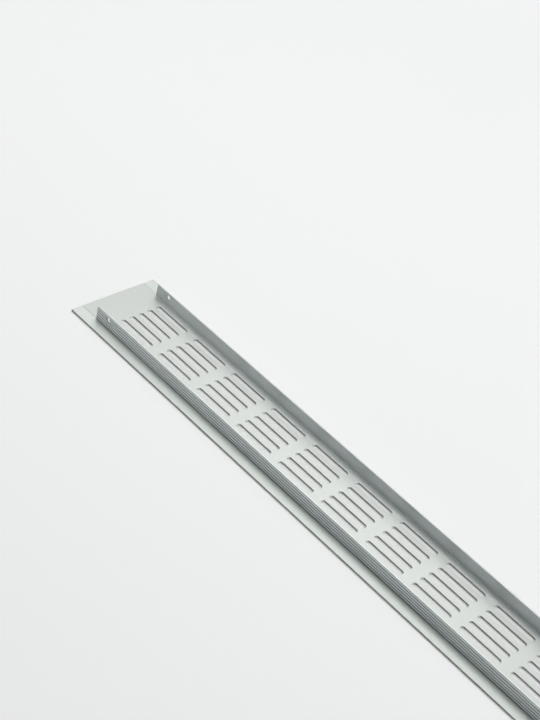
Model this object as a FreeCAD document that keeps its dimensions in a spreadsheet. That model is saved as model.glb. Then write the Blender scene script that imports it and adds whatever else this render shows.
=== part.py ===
import FreeCAD, Part
import os
import Sketcher

# Ventilation grille of aluminium: one extruded profile, punched and cut to length.
# It lies on its show face. +X runs along the grille, +Y across it, +Z up to the tips of the
# two legs that go into the cut-out. The origin is the middle of the show face.

document = FreeCAD.newDocument("ventilation_grille")

# Driving dimensions in millimetres

DIMENSIONS = (
    ("grille_length", 590.0, "length of the cut profile"),
    ("grille_width", 80.0, "width of the face over both flanges"),
    ("face_thickness", 1.5, "wall of the face"),
    ("face_edge_round", 0.5, "radius on the long edges of the face"),
    ("leg_spread", 60.0, "distance over the legs, rib crest to rib crest"),
    ("leg_core", 0.7, "wall of a leg without its ribs"),
    ("leg_height", 11.5, "height of a leg above the back of the face"),
    ("leg_cut_back", 17.5, "length of leg milled away at each end"),
    ("foot_round", 0.5, "radius inside the foot of a leg"),
    ("seat_clearance", 0.1, "how far the groove outside the foot of a leg reaches past the ribs"),
    ("foot_groove_depth", 0.15, "depth of that groove"),
    ("rib_count", 5, "gripping ribs on a leg"),
    ("rib_depth", 0.8, "how far a rib stands out of its leg"),
    ("slot_length", 35.8, "length of a slot over its round ends"),
    ("slot_width", 4.2, "width of a slot"),
    ("row_pitch", 8.5, "distance from one row of slots to the next"),
    ("group_pitch", 45.15, "distance from one group of slots to the next"),
    ("end_strip", 25.0, "least length left whole at each end"),
    ("far_strip", 5.5, "strip between the last row of slots and the far leg"),
    ("near_strip", 12.0, "least strip between the first row of slots and the near leg"),
    ("screw_hole", 4.2, "diameter of a screw hole in a leg"),
    ("screw_height", 7.5, "height of a screw hole above the back of the face"),
    ("screw_inset", 13.5, "distance of a screw hole from the end of its leg"),
)

sheet = document.addObject("Spreadsheet::Sheet", "Sizes")
for line, (alias, size, meaning) in enumerate(DIMENSIONS, start=1):
    sheet.set(f"A{line}", alias)
    sheet.set(f"B{line}", str(size))
    sheet.setAlias(f"B{line}", alias)
    sheet.set(f"C{line}", meaning)
document.recompute()

# Places that follow from the sizes, as formulas that the sketches share

LENGTH = "Sizes.grille_length"
BACK = "Sizes.face_thickness"
LEG_TIP = "(Sizes.face_thickness + Sizes.leg_height)"
LEG_OUTSIDE = "(Sizes.leg_spread / 2 - Sizes.rib_depth)"
LEG_INSIDE = "(Sizes.leg_spread / 2 - Sizes.rib_depth - Sizes.leg_core)"
LEG_END = "(Sizes.grille_length / 2 - Sizes.leg_cut_back)"
RIB_PITCH = "(Sizes.leg_height / Sizes.rib_count)"
RIB_RADIUS = f"(({RIB_PITCH} ^ 2 / 4 + Sizes.rib_depth ^ 2) / (2 * Sizes.rib_depth))"
ROWS = (
    f"(floor((2 * {LEG_INSIDE} - Sizes.far_strip - Sizes.near_strip - Sizes.slot_width)"
    " / Sizes.row_pitch) + 1)"
)
GROUPS = (
    "(floor((Sizes.grille_length - 2 * Sizes.end_strip - Sizes.slot_length)"
    " / Sizes.group_pitch) + 1)"
)
FIRST_ROW = (
    f"({LEG_INSIDE} - Sizes.far_strip - Sizes.slot_width / 2"
    f" - ({ROWS} - 1) * Sizes.row_pitch)"
)
FIRST_GROUP = f"(-({GROUPS} - 1) * Sizes.group_pitch / 2)"
SLOT_REACH = "((Sizes.slot_length - Sizes.slot_width) / 2)"


# Sketch helpers

def origin_of(body, role):
    """The body's own origin plane or axis with this role."""
    return next(item for item in body.Origin.OriginFeatures if item.Role == role)


def new_sketch(body, name, plane):
    """An empty sketch on one of the body's origin planes."""
    sketch = body.newObject("Sketcher::SketchObject", name)
    sketch.AttachmentSupport = [(origin_of(body, plane), "")]
    sketch.MapMode = "FlatFace"
    return sketch


def value_of(formula):
    """The present value of a formula, as a plain number."""
    return float(sheet.evalExpression(formula.replace("Sizes.", "")))


def bind(sketch, constraint, name, formula):
    """Add a named constraint whose value follows a formula."""
    index = sketch.addConstraint(constraint)
    sketch.renameConstraint(index, name)
    sketch.setExpression(f"Constraints.{name}", formula)


def place_point(sketch, curve, end, name, across, up):
    """Fix one point of a curve at two formulas, measured from the sketch's origin."""
    origin = (-1, 1)
    for kind, suffix, formula in (("DistanceX", "across", across), ("DistanceY", "up", up)):
        constraint = Sketcher.Constraint(kind, *origin, curve, end, value_of(formula))
        bind(sketch, constraint, f"{name}_{suffix}", formula)


def add_rectangle(sketch, name, left, right, bottom, top):
    """A rectangle whose four sides follow formulas."""
    low = FreeCAD.Vector(value_of(left), value_of(bottom))
    high = FreeCAD.Vector(value_of(right), value_of(top))
    corners = [low, FreeCAD.Vector(high.x, low.y), high, FreeCAD.Vector(low.x, high.y)]
    sides = [
        sketch.addGeometry(Part.LineSegment(corners[turn], corners[(turn + 1) % 4]))
        for turn in range(4)
    ]
    for turn, side in enumerate(sides):
        following = sides[(turn + 1) % 4]
        sketch.addConstraint(Sketcher.Constraint("Coincident", side, 2, following, 1))
        direction = "Horizontal" if turn % 2 == 0 else "Vertical"
        sketch.addConstraint(Sketcher.Constraint(direction, side))
    place_point(sketch, sides[0], 1, f"{name}_low", left, bottom)
    place_point(sketch, sides[2], 1, f"{name}_high", right, top)


def add_bulge(sketch, name, wall, bottom, top, radius):
    """An arc that bulges out of a wall to the left, closed by its chord."""
    foot = FreeCAD.Vector(value_of(wall), value_of(bottom))
    head = FreeCAD.Vector(value_of(wall), value_of(top))
    half = (head.y - foot.y) / 2
    bend = value_of(radius)
    rise = bend - (bend ** 2 - half ** 2) ** 0.5
    crest = FreeCAD.Vector(foot.x - rise, foot.y + half)
    arc = sketch.addGeometry(Part.Arc(head, crest, foot))
    chord = sketch.addGeometry(Part.LineSegment(foot, head))
    sketch.addConstraint(Sketcher.Constraint("Coincident", arc, 1, chord, 2))
    sketch.addConstraint(Sketcher.Constraint("Coincident", arc, 2, chord, 1))
    place_point(sketch, chord, 1, f"{name}_foot", wall, bottom)
    place_point(sketch, chord, 2, f"{name}_head", wall, top)
    bind(sketch, Sketcher.Constraint("Radius", arc, bend), f"{name}_radius", radius)


def add_round_slot(sketch, name, middle_x, middle_y, reach, width):
    """A slot along X with half-round ends, whose end centres lie a reach from its middle."""
    across = value_of(middle_x)
    up = value_of(middle_y)
    radius = value_of(width) / 2
    left = FreeCAD.Vector(across - value_of(reach), up)
    right = FreeCAD.Vector(across + value_of(reach), up)
    above = FreeCAD.Vector(0, radius)
    beyond = FreeCAD.Vector(radius, 0)
    curves = (
        Part.Arc(left + above, left - beyond, left - above),
        Part.LineSegment(left - above, right - above),
        Part.Arc(right - above, right + beyond, right + above),
        Part.LineSegment(right + above, left + above),
    )
    left_end, lower, right_end, upper = [sketch.addGeometry(curve) for curve in curves]
    for one, other in ((left_end, lower), (lower, right_end), (right_end, upper), (upper, left_end)):
        sketch.addConstraint(Sketcher.Constraint("Tangent", one, 2, other, 1))
    sketch.addConstraint(Sketcher.Constraint("Equal", left_end, right_end))
    place_point(sketch, left_end, 3, f"{name}_left", f"{middle_x} - {reach}", middle_y)
    place_point(sketch, right_end, 3, f"{name}_right", f"{middle_x} + {reach}", middle_y)
    bind(sketch, Sketcher.Constraint("Radius", left_end, radius), f"{name}_radius", f"{width} / 2")


def add_circle(sketch, name, across, up, diameter):
    """A circle whose centre and diameter follow formulas."""
    centre = FreeCAD.Vector(value_of(across), value_of(up))
    radius = value_of(diameter) / 2
    circle = sketch.addGeometry(Part.Circle(centre, FreeCAD.Vector(0, 0, 1), radius))
    place_point(sketch, circle, 3, f"{name}_centre", across, up)
    bind(sketch, Sketcher.Constraint("Diameter", circle, 2 * radius), f"{name}_size", diameter)


# Feature helpers

def extrude(body, name, sketch):
    """Extrude a section over the whole length, evenly to both sides of the middle."""
    pad = body.newObject("PartDesign::Pad", name)
    pad.Profile = sketch
    pad.SideType = "Symmetric"
    pad.setExpression("Length", LENGTH)
    sketch.Visibility = False
    document.recompute()
    return pad


def cut_through(body, name, sketch):
    """Cut a sketch through everything, to both sides of its plane."""
    before = body.Shape.Volume
    pocket = body.newObject("PartDesign::Pocket", name)
    pocket.Profile = sketch
    pocket.SideType = "Symmetric"
    pocket.Type = "ThroughAll"
    sketch.Visibility = False
    document.recompute()
    if body.Shape.Volume >= before:
        raise RuntimeError(f"{name} removed nothing")
    return pocket


def mirror(body, name, originals, plane):
    """Repeat features on the other side of an origin plane."""
    copy = body.newObject("PartDesign::Mirrored", name)
    copy.Originals = originals
    copy.MirrorPlane = (origin_of(body, plane), [""])
    body.Tip = copy
    document.recompute()
    return copy


def linear_pattern(body, name, axis, pitch, count):
    """A row of copies along an origin axis, to be combined with others."""
    pattern = body.newObject("PartDesign::LinearPattern", name)
    pattern.Direction = (origin_of(body, axis), [""])
    pattern.Mode = "Spacing"
    pattern.setExpression("Offset", pitch)
    pattern.setExpression("Occurrences", count)
    return pattern


def combine(body, name, original, steps):
    """Repeat one feature by several patterns or mirrors in turn."""
    copies = body.newObject("PartDesign::MultiTransform", name)
    copies.Originals = [original]
    copies.Transformations = steps
    body.Tip = copies
    document.recompute()


def round_edges(body, name, wanted, radius):
    """Round the long straight edges that pass through the wanted (y, z) points."""
    previous = body.Tip
    close = 1e-4
    edges = []
    for number, edge in enumerate(previous.Shape.Edges, start=1):
        start, finish = edge.Vertexes[0].Point, edge.Vertexes[-1].Point
        runs_along_x = abs(start.x - finish.x) > close
        for y, z in wanted:
            ends_fit = all(abs(end.y - y) < close and abs(end.z - z) < close for end in (start, finish))
            if runs_along_x and ends_fit:
                edges.append(f"Edge{number}")
    if len(edges) != len(wanted):
        raise RuntimeError(f"{name} found {len(edges)} edges")
    fillet = body.newObject("PartDesign::Fillet", name)
    fillet.Base = (previous, edges)
    fillet.setExpression("Radius", radius)
    document.recompute()
    return fillet


# The extruded profile: the face, its two legs and their ribs

grille = document.addObject("PartDesign::Body", "vent_grille")
grille.Label = "vent_grille"

face_section = new_sketch(grille, "face_section", "YZ_Plane")
add_rectangle(face_section, "face", "-Sizes.grille_width / 2", "Sizes.grille_width / 2", "0", BACK)
extrude(grille, "face", face_section)
side = value_of("Sizes.grille_width / 2")
back = value_of(BACK)
face_corners = [(-side, 0), (side, 0), (-side, back), (side, back)]
round_edges(grille, "face_edges", face_corners, "Sizes.face_edge_round")

leg_section = new_sketch(grille, "leg_section", "YZ_Plane")
add_rectangle(leg_section, "leg", f"-{LEG_OUTSIDE}", f"-{LEG_INSIDE}", BACK, LEG_TIP)
near_leg = extrude(grille, "near_leg", leg_section)
mirror(grille, "far_leg", [near_leg], "XZ_Plane")

inside = value_of(LEG_INSIDE)
round_edges(grille, "leg_feet", [(-inside, back), (inside, back)], "Sizes.foot_round")

rib_section = new_sketch(grille, "rib_section", "YZ_Plane")
add_bulge(rib_section, "rib", f"-{LEG_OUTSIDE}", BACK, f"{BACK} + {RIB_PITCH}", RIB_RADIUS)
lowest_rib = extrude(grille, "lowest_rib", rib_section)

rib_stack = linear_pattern(grille, "rib_stack", "Z_Axis", RIB_PITCH, "Sizes.rib_count")
rib_sides = grille.newObject("PartDesign::Mirrored", "rib_sides")
rib_sides.MirrorPlane = (origin_of(grille, "XZ_Plane"), [""])
combine(grille, "ribs", lowest_rib, [rib_stack, rib_sides])

# The fine groove outside each foot. Past the ribs, it lets the flange lie flat on the board round
# the cut-out, and it stays as a line where the leg is milled away.

groove_section = new_sketch(grille, "groove_section", "YZ_Plane")
add_rectangle(
    groove_section, "groove",
    "-Sizes.leg_spread / 2 - Sizes.seat_clearance", f"-{LEG_OUTSIDE}",
    f"{BACK} - Sizes.foot_groove_depth", BACK,
)
near_groove = cut_through(grille, "near_groove", groove_section)
mirror(grille, "far_groove", [near_groove], "XZ_Plane")

# The legs are milled away at both ends, down to the back of the face

milled_section = new_sketch(grille, "milled_section", "XZ_Plane")
add_rectangle(milled_section, "milled", f"-{LENGTH} / 2", f"-{LEG_END}", BACK, LEG_TIP)
first_end = cut_through(grille, "first_end", milled_section)
mirror(grille, "second_end", [first_end], "YZ_Plane")

# Slots: rows side by side, in groups along the grille, off centre towards the far leg

slot_outline = new_sketch(grille, "slot_outline", "XY_Plane")
add_round_slot(slot_outline, "slot", FIRST_GROUP, FIRST_ROW, SLOT_REACH, "Sizes.slot_width")
first_slot = cut_through(grille, "first_slot", slot_outline)

rows = linear_pattern(grille, "rows", "Y_Axis", "Sizes.row_pitch", ROWS)
groups = linear_pattern(grille, "groups", "X_Axis", "Sizes.group_pitch", GROUPS)
combine(grille, "slots", first_slot, [rows, groups])

# One screw hole near each end of each leg

hole_outline = new_sketch(grille, "hole_outline", "XZ_Plane")
add_circle(
    hole_outline, "hole",
    f"-{LEG_END} + Sizes.screw_inset", f"{BACK} + Sizes.screw_height", "Sizes.screw_hole",
)
first_holes = cut_through(grille, "first_holes", hole_outline)
mirror(grille, "second_holes", [first_holes], "YZ_Plane")

# Check and write

PARTS = (grille,)

for item in document.Objects:
    faults = {"Invalid", "Error"}.intersection(item.State)
    if faults:
        raise RuntimeError(f"{item.Label} is {', '.join(sorted(faults))}")

os.makedirs("parts", exist_ok=True)
for body in PARTS:
    shape = body.Shape
    if shape.isNull() or not shape.isValid() or len(shape.Solids) != 1:
        raise RuntimeError(f"{body.Label} is not one valid solid")
    shape.exportStep(f"parts/{body.Label}.step")
    box = shape.BoundBox
    print(f"{body.Label}: {box.XLength:.2f} x {box.YLength:.2f} x {box.ZLength:.2f} mm,"
          f" {shape.Volume:.0f} mm3, {len(shape.Faces)} faces")
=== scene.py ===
# %% [markdown]
# # A ventilation grille of satin aluminium
#
# The grille is one aluminium profile: pushed through a die, milled back at both ends, punched
# with slots and anodised. It lies on its show face, so the picture shows its back, with the two
# ribbed legs that grip the sides of a cut-out. Its shape comes from measured solids. The work
# here is its finish, the light that metal needs, and the view.
#
# Lengths are in metres. +X runs along the grille, +Y across it and +Z up.

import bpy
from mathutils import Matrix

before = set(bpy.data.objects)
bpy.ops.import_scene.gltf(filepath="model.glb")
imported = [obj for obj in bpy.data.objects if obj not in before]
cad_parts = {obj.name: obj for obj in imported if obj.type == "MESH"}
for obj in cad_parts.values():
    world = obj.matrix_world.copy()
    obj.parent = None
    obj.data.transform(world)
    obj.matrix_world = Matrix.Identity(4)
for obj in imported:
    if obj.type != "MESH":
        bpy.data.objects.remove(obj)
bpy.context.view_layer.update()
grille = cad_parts["vent_grille"]
print("grille:", len(grille.data.polygons), "faces in", len(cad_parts), "node")

# %% Load the modules
import math

import bmesh
import bpy
from mathutils import Matrix, Vector

print("Blender:", bpy.app.version_string)

# %% [markdown]
# ## A short way to write shader nodes
#
# A shader is a net of small nodes. A helper that puts one node into the net keeps each step below
# to a line or two, and three more helpers follow where they are first needed. Drawing the nodes by
# hand in the shader editor gives the same net.

# %% Helper for any node
NODE_WIDTH = 220
NODE_HEIGHT = 240


def add_node(tree, kind, column, row, **settings):
    """Put a node into the tree, at a column and a row of the shader editor."""
    node = tree.nodes.new(kind)
    node.location = (NODE_WIDTH * column, -NODE_HEIGHT * row)
    for name, value in settings.items():
        setattr(node, name, value)
    return node


# %% [markdown]
# ## Fine lines of a tool
#
# Every tool leaves lines. The die leaves them along the profile, and the cutter that mills the
# ends leaves them across it. A picture of scratches would do, but it repeats and blurs when the
# camera comes close. A noise that is stretched along one axis gives endless lines instead. It is
# a node group, because the metal uses it three times and the paper once, each with a stretch of
# its own.

# %% Node group: lines
LINE_DETAIL = 3.0
LINE_ROUGHNESS = 0.6


def make_lines_group():
    """A group that turns a stretched place into lines, from 0 to 1."""
    tree = bpy.data.node_groups.new("tool_lines", "ShaderNodeTree")
    tree.interface.new_socket("Place", in_out="INPUT", socket_type="NodeSocketVector")
    tree.interface.new_socket("Stretch", in_out="INPUT", socket_type="NodeSocketVector")
    tree.interface.new_socket("Lines", in_out="OUTPUT", socket_type="NodeSocketFloat")
    given = add_node(tree, "NodeGroupInput", 0, 0)
    stretched = add_node(tree, "ShaderNodeVectorMath", 1, 0, operation="MULTIPLY")
    noise = add_node(tree, "ShaderNodeTexNoise", 2, 0)
    noise.inputs["Scale"].default_value = 1.0
    noise.inputs["Detail"].default_value = LINE_DETAIL
    noise.inputs["Roughness"].default_value = LINE_ROUGHNESS
    result = add_node(tree, "NodeGroupOutput", 3, 0)
    tree.links.new(given.outputs["Place"], stretched.inputs[0])
    tree.links.new(given.outputs["Stretch"], stretched.inputs[1])
    tree.links.new(stretched.outputs["Vector"], noise.inputs["Vector"])
    tree.links.new(noise.outputs["Fac"], result.inputs["Lines"])
    return tree


lines_group = make_lines_group()
print("group:", lines_group.name, "with", len(lines_group.nodes), "nodes")


# %% Helper for one use of the lines
def add_lines(tree, places, stretch, column, row):
    """Put the lines group into a material, with a stretch along X, Y and Z."""
    lines = add_node(tree, "ShaderNodeGroup", column, row, node_tree=lines_group)
    tree.links.new(places.outputs["Object"], lines.inputs["Place"])
    lines.inputs["Stretch"].default_value = stretch
    return lines.outputs["Lines"]


# %% [markdown]
# ## Satin anodised aluminium
#
# Anodised aluminium is bare metal under a clear, hard and slightly cloudy skin. It has no paint,
# so the material is fully metallic. Its satin look comes from a wide, soft reflection, which is a
# middle roughness. A coat over a shinier metal would give a second, sharp reflection that satin
# metal doesn't have, so there is no coat.

# %% Start the material
aluminium = bpy.data.materials.new("satin_aluminium")
aluminium.use_nodes = True
metal = aluminium.node_tree
shader = metal.nodes["Principled BSDF"]
shader.location = (17 * NODE_WIDTH, 0)
metal.nodes["Material Output"].location = (19 * NODE_WIDTH, 0)
shader.inputs["Metallic"].default_value = 1.0
places = add_node(metal, "ShaderNodeTexCoord", -2, 0)
print("material:", aluminium.name)

# %% [markdown]
# ## Marks of the die and of the cutter
#
# The die draws faint lines along the whole profile, so that noise is stretched along X. The
# cutter that mills the legs away leaves marks across the profile. The same group makes both, with
# another stretch. A third use, with no stretch, gives the soft clouds of the anodic skin. Real
# furrows a few thousandths of a millimetre deep would need millions of faces.

# %% Three uses of the lines
DIE_STRETCH = (5.0, 900.0, 900.0)
CUTTER_STRETCH = (1800.0, 60.0, 60.0)
CLOUD_STRETCH = (22.0, 22.0, 22.0)

die_lines = add_lines(metal, places, DIE_STRETCH, 0, 0)
cutter_marks = add_lines(metal, places, CUTTER_STRETCH, 0, -1)
clouds = add_lines(metal, places, CLOUD_STRETCH, 0, -2)
print("uses of the lines:", lines_group.users)

# %% [markdown]
# ## Where each tool worked
#
# A cut face is duller and darker than the drawn skin. It could be picked by hand, face by face,
# with a second material. A mask in the shader does it from the place and the facing of each
# point, and stays right when the slots move: upright faces within the sheet's thickness belong to
# the punch, and faces square to the length belong to the saw and the cutter.

# %% Helper for one step of arithmetic
def calculate(tree, operation, first, second, column, row):
    """Work out one step with two inputs, each a socket or a number."""
    node = add_node(tree, "ShaderNodeMath", column, row, operation=operation)
    for number, value in enumerate((first, second)):
        if isinstance(value, bpy.types.NodeSocket):
            tree.links.new(value, node.inputs[number])
        else:
            node.inputs[number].default_value = value
    return node.outputs["Value"]


# %% Places and facings
along = add_node(metal, "ShaderNodeSeparateXYZ", 0, 2)
metal.links.new(places.outputs["Object"], along.inputs["Vector"])
facing = add_node(metal, "ShaderNodeSeparateXYZ", 0, 4)
metal.links.new(places.outputs["Normal"], facing.inputs["Vector"])
height = along.outputs["Z"]
from_middle = calculate(metal, "ABSOLUTE", along.outputs["Y"], 0.0, 1, 3)
from_centre = calculate(metal, "ABSOLUTE", along.outputs["X"], 0.0, 1, 6)
lying = calculate(metal, "ABSOLUTE", facing.outputs["Z"], 0.0, 1, 4)
endwise = calculate(metal, "ABSOLUTE", facing.outputs["X"], 0.0, 1, 5)
print("masks read the place and the facing of each point")

# %% Punched sides of the slots
FACE_THICKNESS = 0.0015
LEG_INSIDE = 0.0285
BELOW_BACK = 0.97 * FACE_THICKNESS
CLEAR_OF_LEG = 0.98 * LEG_INSIDE
STEEP = 0.5

in_sheet = calculate(metal, "LESS_THAN", height, BELOW_BACK, 1, 2)
between_legs = calculate(metal, "LESS_THAN", from_middle, CLEAR_OF_LEG, 2, 3)
upright = calculate(metal, "LESS_THAN", lying, STEEP, 2, 4)
slot_sides = calculate(metal, "MULTIPLY", in_sheet, between_legs, 3, 2)
all_punched = calculate(metal, "MULTIPLY", slot_sides, upright, 4, 2)
print("sheet: %.1f mm thick" % (1000 * FACE_THICKNESS))

# %% [markdown]
# ### Two bands and two ends
#
# A punched side has two bands: it is dark, partly as a duller cut face and partly as painted
# shade, and it is painted lighter towards the show face at the bottom, which is painted light. One
# end of each slot is also painted bright and the other end dark, by the way it faces along X:
# painted light and shade. The bands could be cut into the solid as steps, but they are only a
# change of colour. So the height gives the band, and the way a face looks along X gives the end.

# %% Helper for a soft mask
def rise_softly(tree, value, start, full, column, row, low=0.0, high=1.0):
    """Rise smoothly from low to high while the value goes from start to full."""
    node = add_node(tree, "ShaderNodeMapRange", column, row, interpolation_type="SMOOTHSTEP")
    tree.links.new(value, node.inputs["Value"])
    node.inputs["From Min"].default_value = start
    node.inputs["From Max"].default_value = full
    node.inputs["To Min"].default_value = low
    node.inputs["To Max"].default_value = high
    return node.outputs["Result"]


# %% Two bands on each side
# Painted light: the lower band of each punched side is lighter.
DARKEST_ABOVE = 0.65 * FACE_THICKNESS
LIGHTEST_BELOW = 0.25 * FACE_THICKNESS

low_down = rise_softly(metal, height, DARKEST_ABOVE, LIGHTEST_BELOW, 4, 3)
painted_lighter = calculate(metal, "MULTIPLY", low_down, all_punched, 5, 3)
print("punched sides: burnished below %.2f mm, torn above %.2f mm"
      % (1000 * LIGHTEST_BELOW, 1000 * DARKEST_ABOVE))

# %% Lighter end and darker end of each slot, painted by facing
END_STARTS = 0.30
END_IS_FULL = 0.95


def ends_of_slots(sign, row):
    """The punched faces that look along +X (1) or -X (-1), with a soft start."""
    towards = calculate(metal, "MULTIPLY", facing.outputs["X"], sign, 3, row)
    soft = rise_softly(metal, towards, END_STARTS, END_IS_FULL, 4, row)
    return calculate(metal, "MULTIPLY", soft, all_punched, 5, row)


# Painted light and shade: punched faces that look along +X are painted light, those that look
# along -X dark.
painted_light_end = ends_of_slots(1.0, 4)
painted_shade_end = ends_of_slots(-1.0, 5)
print("slot ends: clean towards -X, torn towards +X")

# %% Faces of the saw and of the cutter
HOLES_END = 0.270
SQUARE = 0.9

square_cut = calculate(metal, "GREATER_THAN", endwise, SQUARE, 2, 5)
near_end = calculate(metal, "GREATER_THAN", from_centre, HOLES_END, 2, 6)
sawn = calculate(metal, "MULTIPLY", square_cut, near_end, 3, 6)
cut = calculate(metal, "MAXIMUM", all_punched, sawn, 7, 3)
print("cut faces: slot sides, sawn ends and milled leg ends")

# %% Strips where the legs were milled away
HALF_LENGTH = 0.2950
LEG_END = 0.2775
LEG_OUTSIDE = 0.0300
STRIP_OUTSIDE = LEG_OUTSIDE + 0.0001
STRIP_INSIDE = LEG_INSIDE - 0.0005

past_legs = calculate(metal, "GREATER_THAN", from_centre, LEG_END, 2, 12)
outer_side = calculate(metal, "LESS_THAN", from_middle, STRIP_OUTSIDE, 2, 13)
inner_side = calculate(metal, "GREATER_THAN", from_middle, STRIP_INSIDE, 2, 14)
strip = calculate(metal, "MULTIPLY", outer_side, inner_side, 3, 13)
milled = calculate(metal, "MULTIPLY", past_legs, strip, 4, 12)
print("milled strips: %.1f mm long" % (1000 * (HALF_LENGTH - LEG_END)))

# %% [markdown]
# ## The grooves between the ribs
#
# Five rounded ribs run along the outside of each leg. The ribs are solid, so the light shades them
# by itself. Deep in the grooves between them a narrow dark colour, from how far a point lies
# behind the crest, adds painted shade, and it keeps the ribs apart where the picture shows them
# small.

# %% Faces of the leg
LEG_TIP = 0.0130
ABOVE_BACK = 1.1 * FACE_THICKNESS
AT_TIP = 0.99 * LEG_TIP
RIBBED_SIDE = LEG_INSIDE + 0.0002

on_leg = calculate(metal, "GREATER_THAN", height, ABOVE_BACK, 2, 8)
on_tip = calculate(metal, "GREATER_THAN", height, AT_TIP, 2, 9)
below_tip = calculate(metal, "SUBTRACT", 1.0, on_tip, 3, 9)
outside = calculate(metal, "GREATER_THAN", from_middle, RIBBED_SIDE, 2, 10)
ribbed = calculate(metal, "MULTIPLY", below_tip, outside, 4, 9)
ribbed_leg = calculate(metal, "MULTIPLY", on_leg, ribbed, 5, 8)
print("legs: %.1f mm high over the back" % (1000 * (LEG_TIP - FACE_THICKNESS)))

# %% Mask of the grooves
RIB_DEPTH = 0.0008
GROOVE_STARTS = LEG_OUTSIDE - 0.15 * RIB_DEPTH
GROOVE_IS_FULL = LEG_OUTSIDE - 0.75 * RIB_DEPTH

# Painted shade: a dark colour deep in the grooves between the ribs.
behind_crest = rise_softly(metal, from_middle, GROOVE_STARTS, GROOVE_IS_FULL, 3, 7)
painted_groove_shade = calculate(metal, "MULTIPLY", behind_crest, ribbed_leg, 6, 7)
print("grooves: %.1f mm deep" % (1000 * RIB_DEPTH))

# %% [markdown]
# ## The long edges and the flanges
#
# The two long edges are as thin as the sheet. Their upper part is painted dark: painted shade. The
# flanges beside them are painted a little paler than the back between the legs: painted light.
# Both could have a second material, but that ends where a face ends. A mask from the place can
# stop partway down the edge, which keeps the dark line thin.

# %% Masks of the long edges and the flanges
HALF_WIDTH = 0.0400
RIM = HALF_WIDTH - 0.0005
RIM_FOOT = 0.0007
FLANGE_STARTS = LEG_OUTSIDE + 0.0005

# Painted shade: a dark colour on the long edges, above their foot.
at_rim = calculate(metal, "GREATER_THAN", from_middle, RIM, 2, 15)
above_foot = calculate(metal, "GREATER_THAN", height, RIM_FOOT, 2, 16)
painted_edge_shade = calculate(metal, "MULTIPLY", at_rim, above_foot, 3, 15)
# Painted light: a paler colour over the whole of each flange.
flange = calculate(metal, "GREATER_THAN", from_middle, FLANGE_STARTS, 2, 17)
print("flanges: %.1f mm wide" % (1000 * (HALF_WIDTH - LEG_OUTSIDE)))

# %% [markdown]
# ## The pressed strips
#
# Between the slots and the foot of each leg lies a narrow strip, which is painted a little paler
# than the rest of the back. It is painted light, which lifts the shade that the leg casts there. A
# painted stripe would have hard edges, so the mask starts softly, both across the strip and at its
# ends.

# %% Mask of the strips painted paler beside the legs
PAINTED_LIGHT_STARTS = 0.0205
PAINTED_LIGHT_IS_FULL = PAINTED_LIGHT_STARTS + 0.0040
PAINTED_LIGHT_FADES = LEG_END - 0.0300
FOOT_OF_LEG = LEG_INSIDE - 0.0008

# Painted light: a paler colour on the strip beside each leg, against the leg's shade.
painted_light_across = rise_softly(metal, from_middle, PAINTED_LIGHT_STARTS, PAINTED_LIGHT_IS_FULL, 3, 18)
painted_light_along = rise_softly(metal, from_centre, LEG_END, PAINTED_LIGHT_FADES, 3, 19)
on_back = calculate(metal, "LESS_THAN", from_middle, FOOT_OF_LEG, 2, 18)
painted_light_strip = calculate(metal, "MULTIPLY", painted_light_across, on_back, 4, 18)
painted_light = calculate(metal, "MULTIPLY", painted_light_strip, painted_light_along, 5, 18)
print("pressed strips: %.1f mm wide" % (1000 * (FOOT_OF_LEG - PAINTED_LIGHT_STARTS)))

# %% [markdown]
# ## Colour
#
# The colours are laid over each other like coats of paint, each through its own mask: the skin
# with its faint lines, the flanges, the strips beside the legs, the legs with their grooves and
# tips, the cut faces and the long edges. The paler flanges, strips, legs and tips are painted
# light. The dark grooves and long edges are painted shade, the punched sides are partly a duller
# cut face and partly painted shade and light, and the slot ends are painted light at one end and
# shade at the other. A colour ramp could hold them all, but a chain of layers says by name what
# goes where.

# %% Helper for one layer of colour
def lay_colour(tree, below, colour, mask, column, row):
    """Lay a colour over the one below, where the mask is 1. Each is a socket or a tint."""
    mix = add_node(tree, "ShaderNodeMix", column, row, data_type="RGBA")
    for name, value in (("A", below), ("B", colour)):
        if isinstance(value, bpy.types.NodeSocket):
            tree.links.new(value, mix.inputs[name])
        else:
            mix.inputs[name].default_value = (*value, 1.0)
    tree.links.new(mask, mix.inputs["Factor"])
    return mix.outputs["Result"]


# %% Skin
SKIN_DARK = (0.632, 0.659, 0.626)
SKIN_PALE = (0.662, 0.688, 0.655)

skin = lay_colour(metal, SKIN_DARK, SKIN_PALE, die_lines, 2, 0)
print("skin: from", SKIN_DARK, "to", SKIN_PALE)

# %% Layers over the skin
LAYERS = (
    # Painted light: a paler colour over the flanges.
    ((0.708, 0.741, 0.702), flange),
    # Painted light: a paler colour on the strips beside the legs.
    ((0.735, 0.760, 0.740), painted_light),
    # Painted light: a paler colour over the legs.
    ((0.712, 0.752, 0.748), on_leg),
    # Painted shade: a dark colour deep in the grooves between the ribs.
    ((0.240, 0.250, 0.250), painted_groove_shade),
    # Painted light: a still paler colour on the tips of the legs, which face the lamps.
    ((0.765, 0.795, 0.770), on_tip),
    ((0.370, 0.372, 0.362), sawn),
    # Partly the duller cut face and partly painted shade: a dark colour on the punched sides.
    ((0.270, 0.262, 0.250), all_punched),
    # Painted light: lighter towards the bottom of each punched side.
    ((0.500, 0.495, 0.480), painted_lighter),
    # Painted light: slot ends that look along +X.
    ((0.900, 0.910, 0.900), painted_light_end),
    # Painted shade: slot ends that look along -X.
    ((0.220, 0.221, 0.216), painted_shade_end),
    # Painted shade: a dark colour on the upper part of the long edges.
    ((0.205, 0.197, 0.188), painted_edge_shade),
)

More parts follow.
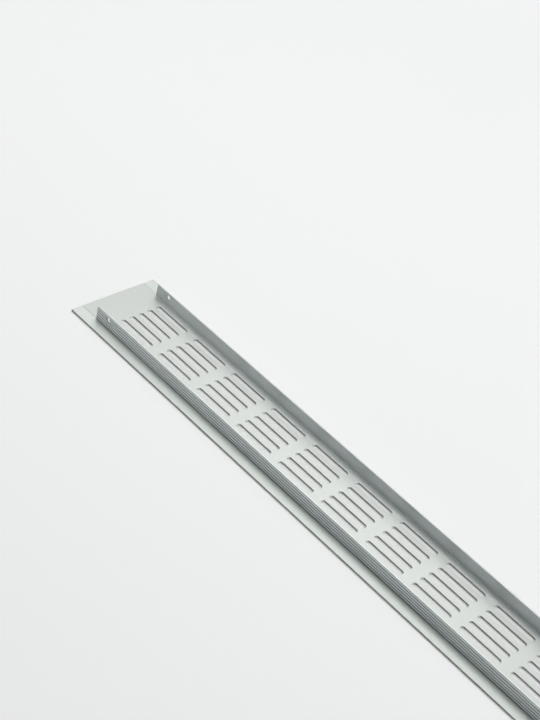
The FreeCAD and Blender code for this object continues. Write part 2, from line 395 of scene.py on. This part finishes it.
colour = skin
for number, (tint, mask) in enumerate(LAYERS):
    colour = lay_colour(metal, colour, tint, mask, 5 + number, 0)
metal.links.new(colour, shader.inputs["Base Color"])
print("colour:", len(LAYERS), "layers over the skin")

# %% [markdown]
# ## Roughness and bump
#
# The skin is even satin, a little cloudy and with the faint lines of the die. Cut faces scatter
# more light, so they are rougher. One roughness for all would look like plastic. The marks have a
# height of a few thousandths of a millimetre: a bump node bends the light for them and leaves the
# solid as it is.

# %% Roughness
SATIN = 0.48
CLOUDINESS = 0.04
LINE_TRACE = 0.02
CUT_IS_ROUGHER = 0.08

cloudy = calculate(metal, "MULTIPLY", clouds, CLOUDINESS, 2, -2)
satin = calculate(metal, "ADD", cloudy, SATIN, 3, -2)
lined = calculate(metal, "MULTIPLY", die_lines, LINE_TRACE, 2, -1)
drawn = calculate(metal, "ADD", satin, lined, 4, -2)
coarse = calculate(metal, "MULTIPLY", cut, CUT_IS_ROUGHER, 8, 3)
roughness = calculate(metal, "ADD", drawn, coarse, 9, -1)
metal.links.new(roughness, shader.inputs["Roughness"])
print("roughness: from %.2f to %.2f" % (SATIN, SATIN + CLOUDINESS + LINE_TRACE + CUT_IS_ROUGHER))

# %% Bump
CUTTER_HEIGHT = 3.0
BUMP_STRENGTH = 0.5
BUMP_DISTANCE = 0.00001

marks = calculate(metal, "MULTIPLY", cutter_marks, milled, 5, 12)
strong_marks = calculate(metal, "MULTIPLY", marks, CUTTER_HEIGHT, 6, 12)
relief = calculate(metal, "ADD", die_lines, strong_marks, 7, 12)
bump = add_node(metal, "ShaderNodeBump", 9, 4)
bump.inputs["Strength"].default_value = BUMP_STRENGTH
bump.inputs["Distance"].default_value = BUMP_DISTANCE
metal.links.new(relief, bump.inputs["Height"])
metal.links.new(bump.outputs["Normal"], shader.inputs["Normal"])
print("material nodes:", len(metal.nodes))

# %% [markdown]
# ## Dress the grille
#
# The whole grille is one piece of one metal, so one material covers it. Each kind of face could
# have a material of its own, but the masks above already tell them apart.

# %% Put the material on the grille
grille.data.materials.clear()
grille.data.materials.append(aluminium)
print("slot: satin_aluminium on", grille.name)

# %% [markdown]
# ## Floor
#
# The grille lies on a large sheet of pale paper, which shows through the slots and takes the
# shadow. The sheet is wide enough to fill the picture and all that the metal mirrors, so no
# backdrop is needed. It lies a tenth of a millimetre under the grille, because two faces in one
# place would flicker. Paper isn't quite even, so a slow noise changes its lightness by a trace.
# The paper under the grille is painted a little greyer: painted shade, as the grille keeps light
# from it.

# %% Sheet of paper
FLOOR_HALF = 8.0
FLOOR_GAP = 0.0001

floor_shape = bmesh.new()
bmesh.ops.create_grid(floor_shape, x_segments=1, y_segments=1, size=FLOOR_HALF)
floor_mesh = bpy.data.meshes.new("floor")
floor_shape.to_mesh(floor_mesh)
floor_shape.free()
floor = bpy.data.objects.new("floor", floor_mesh)
floor.location.z = -FLOOR_GAP
bpy.context.scene.collection.objects.link(floor)
print("floor:", 2 * FLOOR_HALF, "m wide")

# %% Paper
FIBRE_STRETCH = (3.0, 3.0, 3.0)
PAPER_DARK = (0.925, 0.920, 0.912)
PAPER_PALE = (0.935, 0.930, 0.922)
PAPER_ROUGHNESS = 0.9

paper = bpy.data.materials.new("paper")
paper.use_nodes = True
pulp = paper.node_tree
paper_shader = pulp.nodes["Principled BSDF"]
paper_shader.location = (NODE_WIDTH, 0)
pulp.nodes["Material Output"].location = (3 * NODE_WIDTH, 0)
paper_shader.inputs["Roughness"].default_value = PAPER_ROUGHNESS
paper_shader.inputs["Specular IOR Level"].default_value = 0.0
on_paper = add_node(pulp, "ShaderNodeTexCoord", -5, 0)
fibres = add_lines(pulp, on_paper, FIBRE_STRETCH, -4, 0)
clean_paper = lay_colour(pulp, PAPER_DARK, PAPER_PALE, fibres, -3, 0)
print("paper: from", PAPER_DARK, "to", PAPER_PALE)

# %% Greyer paper under the grille
UNDER_GRILLE_SHADE = (0.795, 0.792, 0.786)
WELL_UNDER = 0.010

spot = add_node(pulp, "ShaderNodeSeparateXYZ", -4, 1)
pulp.links.new(on_paper.outputs["Object"], spot.inputs["Vector"])
spot_x = calculate(pulp, "ABSOLUTE", spot.outputs["X"], 0.0, -3, 1)
spot_y = calculate(pulp, "ABSOLUTE", spot.outputs["Y"], 0.0, -3, 2)
inside_x = calculate(pulp, "LESS_THAN", spot_x, HALF_LENGTH - WELL_UNDER, -2, 1)
inside_y = calculate(pulp, "LESS_THAN", spot_y, HALF_WIDTH - WELL_UNDER, -2, 2)
covered = calculate(pulp, "MULTIPLY", inside_x, inside_y, -1, 1)
# Painted shade: the paper under the grille is greyer.
shaded_paper = lay_colour(pulp, clean_paper, UNDER_GRILLE_SHADE, covered, -1, 0)
print("dusty paper: %.0f mm inside the outline of the grille" % (1000 * WELL_UNDER))

# %% [markdown]
# ### Pale distance
#
# Far from the lamps the sheet would fade into the dark, and more lamps would light the grille
# too. The camera and mirrored rays see the paper glow a little instead: by a trace near the
# grille, and as pale as the wall in the distance. Its own colour fades out there, or the two
# would add up to more than white. Scattered light meets plain paper, so the glow shows in the
# metal but lights no other paper, and the shadow stays.

# %% Helper for what is only looked at
def only_seen(tree, column, row):
    """1 for the camera and for mirrored and refracted rays, 0 for scattered light."""
    ray = add_node(tree, "ShaderNodeLightPath", column, row)
    mirrored = calculate(tree, "MAXIMUM", ray.outputs["Is Camera Ray"],
                         ray.outputs["Is Glossy Ray"], column + 1, row)
    return calculate(tree, "MAXIMUM", mirrored, ray.outputs["Is Transmission Ray"],
                     column + 2, row)


# %% Glow of the distant paper
NEAR_GLOW = 0.055
FAR_GLOW = 0.82
GLOW_STARTS = 0.7
GLOW_IS_FULL = 2.2
WHITE = (1.0, 1.0, 1.0, 1.0)

distance = add_node(pulp, "ShaderNodeVectorMath", -5, 3, operation="LENGTH")
pulp.links.new(on_paper.outputs["Object"], distance.inputs[0])
far_off = rise_softly(pulp, distance.outputs["Value"], GLOW_STARTS, GLOW_IS_FULL, -4, 3,
                      low=NEAR_GLOW, high=FAR_GLOW)
paper_glow = calculate(pulp, "MULTIPLY", far_off, only_seen(pulp, -4, 5), -1, 3)
pulp.links.new(paper_glow, paper_shader.inputs["Emission Strength"])
paper_shader.inputs["Emission Color"].default_value = WHITE
print("paper glows from %.3f near to %.2f far off" % (NEAR_GLOW, FAR_GLOW))

# %% Fade of the paper's own colour
BLACK = (0.0, 0.0, 0.0)
FADE_STARTS = 0.9
FADE_IS_FULL = 2.1

faded = rise_softly(pulp, distance.outputs["Value"], FADE_STARTS, FADE_IS_FULL, -3, 4)
paper_colour = lay_colour(pulp, shaded_paper, BLACK, faded, 0, 0)
pulp.links.new(paper_colour, paper_shader.inputs["Base Color"])
floor_mesh.materials.append(paper)
print("paper's own colour fades out by", FADE_IS_FULL, "m")

# %% [markdown]
# ## Room
#
# Metal has no colour of its own to show: it shows what stands around it. So the room matters as
# much as the lamps. It is dim, which keeps the upright legs dark, with a pale wall all round the
# horizon. The wall could be a ring of boards, but a band in the world's colour is simpler and
# can't stand in the way of the camera. Only the camera and mirrored rays see it, so it shows in
# the metal and lights nothing else.

# %% Dim room with a pale wall
DIM_ROOM = (0.098, 0.108, 0.118)
PALE_WALL = (0.860, 0.870, 0.870)
WALL_ENDS = 0.16
WALL_IS_FULL = 0.06

world = bpy.data.worlds.new("studio")
bpy.context.scene.world = world
world.use_nodes = True
air = world.node_tree
room = air.nodes["Background"]
room.inputs["Strength"].default_value = 1.0
way = add_node(air, "ShaderNodeTexCoord", -7, 0)
direction = add_node(air, "ShaderNodeSeparateXYZ", -6, 0)
air.links.new(way.outputs["Generated"], direction.inputs["Vector"])
wall = rise_softly(air, direction.outputs["Z"], WALL_ENDS, WALL_IS_FULL, -5, 0)
seen_wall = calculate(air, "MULTIPLY", only_seen(air, -7, 1), wall, -4, 0)
air.links.new(lay_colour(air, DIM_ROOM, PALE_WALL, seen_wall, -3, 0), room.inputs["Color"])
print("wall ends %.0f degrees over the horizon" % math.degrees(math.asin(WALL_ENDS)))

# %% [markdown]
# ## Light
#
# The flat face looks up at the lamps and is light. The legs look at the dim room and at the
# flanges and paper below them, so they are dark, and each rib is light where it turns down. Bare
# bulbs would throw hard shadows. One lamp straight overhead makes a flat grey, and from above the
# face would mirror it as pure white. Four large softboxes round about give the soft, even light
# of a product picture.

# %% Helper for a softbox
MIDDLE = (0.0, 0.0, 0.0)


def add_softbox(name, place, width, height, glow):
    """A lamp with a flat front, turned to the grille. The glow is how bright the front is."""
    lamp_data = bpy.data.lights.new(name, "AREA")
    lamp_data.shape = "RECTANGLE"
    lamp_data.size = width
    lamp_data.size_y = height
    lamp_data.energy = glow * math.pi * width * height
    lamp = bpy.data.objects.new(name, lamp_data)
    lamp.location = place
    aim = Vector(MIDDLE) - Vector(place)
    lamp.rotation_euler = aim.to_track_quat("-Z", "Y").to_euler()
    lamp.visible_camera = False
    bpy.context.scene.collection.objects.link(lamp)
    return lamp


# %% Four softboxes: name, place, width, height and glow
SOFTBOXES = (
    ("high", (-0.60, 0.36, 1.93), 1.1, 1.1, 4.35),
    ("right", (1.25, 0.5, 1.8), 1.5, 1.5, 2.88),
    ("far", (-1.2, 1.6, 1.55), 2.0, 1.5, 0.92),
    ("left", (-1.9, -0.6, 1.1), 1.2, 1.2, 1.75),
)

for numbers in SOFTBOXES:
    softbox = add_softbox(*numbers)
    print("softbox %-6s %.1f m away" % (softbox.name, softbox.location.length))

# %% [markdown]
# ## View
#
# The camera stands past the +X end, well out on the -Y side and high up, and looks slantwise over
# the grille. The far end shows whole, and the near end runs out of the frame. The camera's place
# was worked out from the slots, which are evenly spaced: only one place and lens make all the rows
# and groups fall where the picture has them. Moving the camera by hand until it looked right would
# leave the slots a few pixels off. Nothing is out of focus, as in a product picture.

# %% Camera
SENSOR_WIDTH = 36.0
LENS = 83.93
STAND = (0.46645, -0.7070, 0.7878)
LOOK = (-0.5042, 0.6017, -0.6195)
ROLL = 13.39

camera_data = bpy.data.cameras.new("camera")
camera_data.sensor_width = SENSOR_WIDTH
camera_data.lens = LENS
camera = bpy.data.objects.new("camera", camera_data)
turn = Vector(LOOK).to_track_quat("-Z", "Y").to_matrix().to_4x4()
roll = Matrix.Rotation(math.radians(ROLL), 4, "Z")
camera.matrix_world = Matrix.Translation(Vector(STAND)) @ turn @ roll
bpy.context.scene.collection.objects.link(camera)
bpy.context.scene.camera = camera
bpy.context.scene.view_settings.view_transform = "Standard"
print("camera: %.2f m from the middle of the grille" % Vector(STAND).length)
